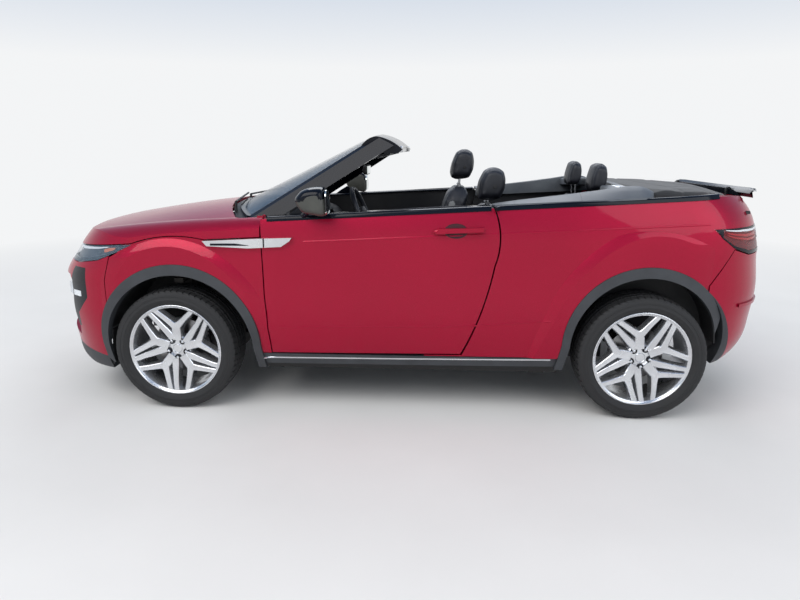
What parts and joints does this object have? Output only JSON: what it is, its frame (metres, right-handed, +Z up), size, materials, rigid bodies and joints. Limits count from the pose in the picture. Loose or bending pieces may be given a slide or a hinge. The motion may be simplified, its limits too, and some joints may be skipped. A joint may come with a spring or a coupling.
{
  "type": "convertible car",
  "caption": "Two-door convertible car with a raised ride height, clad arches and sills, raked windscreen, four seats and a soft top folded behind them.",
  "frame": {"origin": "on the ground, midway between the nose and the tail, on the centre plane", "axes": "+X from the nose to the tail, +Y to the car's right, +Z up"},
  "size_m": [4.3731, 2.088, 1.588],
  "materials": {
    "body_paint": "metallic gloss",
    "underbody_paint": "satin",
    "black_gloss": "gloss",
    "grey_plastic": "grained",
    "black_plastic": "matte",
    "deck_grey": "satin",
    "bright_trim": "satin",
    "alloy_wheel": "machined",
    "tyre_rubber": "matte",
    "disc_iron": "turned",
    "chassis_iron": "rough",
    "engine_metal": "cast",
    "exhaust_steel": "satin",
    "screen_glass": "clear",
    "headlamp_glass": "clear over bright reflectors",
    "tail_lamp_glass": "red and clear",
    "seat_leather": "grained",
    "soft_top_fabric": "woven"
  },
  "bodies": {
    "car": {"arch_liners": "black_plastic", "cabin_trim": "black_plastic", "centre_console": "black_plastic", "cladding": "grey_plastic", "dashboard": "black_plastic", "deck_panel": "deck_grey", "engine": "engine_metal", "exhaust": "exhaust_steel", "floor_pan": "underbody_paint", "fog_lamps": "headlamp_glass", "front_bumper": "body_paint", "front_seats": "seat_leather", "front_structure": "underbody_paint", "front_subframe": "chassis_iron", "front_valance": "grey_plastic", "front_wings": "body_paint", "fuel_tank": "black_plastic", "grilles": "black_plastic", "headlamps": "headlamp_glass", "intake_trims": "black_plastic", "quarter_panels": "body_paint", "radiator": "engine_metal", "rear_axle": "chassis_iron", "rear_bumper": "body_paint", "rear_seats": "seat_leather", "rear_structure": "underbody_paint", "rear_valance": "grey_plastic", "scuttle": "black_plastic", "soft_top_stowed": "soft_top_fabric", "tail_lamps": "tail_lamp_glass", "windscreen_frame": "black_gloss", "windscreen_glass": "screen_glass", "wing_vents": "bright_trim", "wipers": "black_plastic"},
    "door_left": {"door_left": "body_paint", "door_vent_left": "bright_trim", "mirror_left": "black_gloss"},
    "knuckle_left": {"steering_knuckle_left": "chassis_iron"},
    "wheel_front_left": {"rim_front_left": "alloy_wheel", "tyre_front_left": "tyre_rubber", "brake_disc_front_left": "disc_iron"},
    "wheel_rear_left": {"rim_rear_left": "alloy_wheel", "tyre_rear_left": "tyre_rubber", "brake_disc_rear_left": "disc_iron"},
    "door_right": {"door_right": "body_paint", "door_vent_right": "bright_trim", "mirror_right": "black_gloss"},
    "knuckle_right": {"steering_knuckle_right": "chassis_iron"},
    "wheel_front_right": {"rim_front_right": "alloy_wheel", "tyre_front_right": "tyre_rubber", "brake_disc_front_right": "disc_iron"},
    "wheel_rear_right": {"rim_rear_right": "alloy_wheel", "tyre_rear_right": "tyre_rubber", "brake_disc_rear_right": "disc_iron"},
    "bonnet": {"bonnet": "body_paint"},
    "boot_lid": {"boot_lid": "body_paint", "spoiler": "black_gloss"},
    "steering_wheel": {"steering_wheel": "seat_leather"}
  },
  "joints": [
    {"name": "door_left_hinge", "type": "hinge", "parent": "car", "child": "door_left", "pos_m": [-0.731, -0.89, 0.7], "axis": [0, 0, -1], "range_deg": [0, 65]},
    {"name": "door_right_hinge", "type": "hinge", "parent": "car", "child": "door_right", "pos_m": [-0.731, 0.89, 0.7], "axis": [0, 0, 1], "range_deg": [0, 65]},
    {"name": "bonnet_hinge", "type": "hinge", "parent": "car", "child": "bonnet", "pos_m": [-0.79, 0, 1.128], "axis": [0, 1, 0], "range_deg": [0, 50]},
    {"name": "boot_lid_hinge", "type": "hinge", "parent": "car", "child": "boot_lid", "pos_m": [1.927, 0, 1.274], "axis": [0, -1, 0], "range_deg": [0, 72]},
    {"name": "steer_left", "type": "hinge", "parent": "car", "child": "knuckle_left", "pos_m": [-1.323, -0.7605, 0.36], "axis": [0, 0, 1], "range_deg": [-33, 33]},
    {"name": "steer_right", "type": "hinge", "parent": "car", "child": "knuckle_right", "pos_m": [-1.323, 0.7605, 0.36], "axis": [0, 0, 1], "range_deg": [-33, 33]},
    {"name": "steering_wheel_turn", "type": "hinge", "parent": "car", "child": "steering_wheel", "pos_m": [-0.277, -0.36, 1.097], "axis": [0.9205, 0, 0.3907], "range_deg": [-429, 429]},
    {"name": "wheel_spin_front_left", "type": "hinge", "parent": "knuckle_left", "child": "wheel_front_left", "pos_m": [-1.323, -0.8105, 0.36], "axis": [0, 1, 0], "continuous": true},
    {"name": "wheel_spin_rear_left", "type": "hinge", "parent": "car", "child": "wheel_rear_left", "pos_m": [1.337, -0.814, 0.36], "axis": [0, 1, 0], "continuous": true},
    {"name": "wheel_spin_front_right", "type": "hinge", "parent": "knuckle_right", "child": "wheel_front_right", "pos_m": [-1.323, 0.8105, 0.36], "axis": [0, 1, 0], "continuous": true},
    {"name": "wheel_spin_rear_right", "type": "hinge", "parent": "car", "child": "wheel_rear_right", "pos_m": [1.337, 0.814, 0.36], "axis": [0, 1, 0], "continuous": true}
  ],
  "couplings": [
    {"joint": "steer_right", "follows": "steer_left", "ratio": 1},
    {"joint": "steering_wheel_turn", "follows": "steer_left", "ratio": 13}
  ]
}
